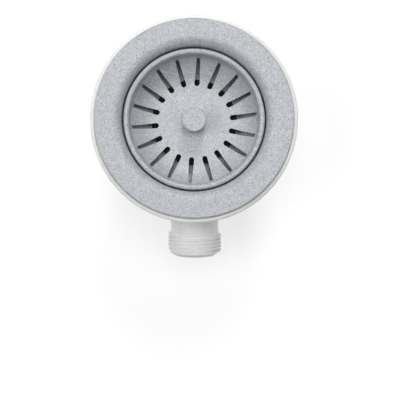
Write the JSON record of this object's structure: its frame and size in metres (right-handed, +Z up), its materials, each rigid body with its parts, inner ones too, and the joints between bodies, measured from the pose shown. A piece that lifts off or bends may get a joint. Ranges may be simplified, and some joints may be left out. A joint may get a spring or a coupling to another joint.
{
  "type": "sink basket strainer waste",
  "caption": "Kitchen sink waste with a stone-effect flange, a slotted lift-out strainer with a knob, and a white moulded body with a threaded tail and a threaded side stub.",
  "frame": {"origin": "centre of the tail's end face, on the axis of the waste", "axes": "+Z up the axis of the waste to the flange, -Z the way that water leaves the tail, -Y the side of the overflow stub"},
  "size_m": [0.1194, 0.1418, 0.092],
  "materials": {
    "stone": "fine stone-like speckle, satin",
    "white_plastic": "smooth moulded, semi-gloss",
    "black_rubber": "matt",
    "grey_rubber": "matt",
    "steel": "turned, satin",
    "brass": "turned, satin"
  },
  "bodies": {
    "waste": {"flange_pot": "stone", "flange_gasket": "grey_rubber", "screw_washer": "grey_rubber", "centre_screw": "steel", "captive_nut": "brass", "body_gasket": "black_rubber", "body": "white_plastic"},
    "spring_ring": {"snap_ring": "brass"},
    "strainer": {"basket": "stone", "knob": "stone", "stem": "steel", "stopper_seal": "black_rubber", "clamp_plate": "steel", "stem_nut": "steel"}
  },
  "joints": [
    {"name": "strainer_lift", "type": "slide", "parent": "waste", "child": "spring_ring", "axis": [0, 0, 1], "range_m": [0, 0.05]},
    {"name": "strainer_turn", "type": "hinge", "parent": "spring_ring", "child": "strainer", "pos_m": [0, 0, 0.07], "axis": [0, 0, 1], "continuous": true}
  ]
}
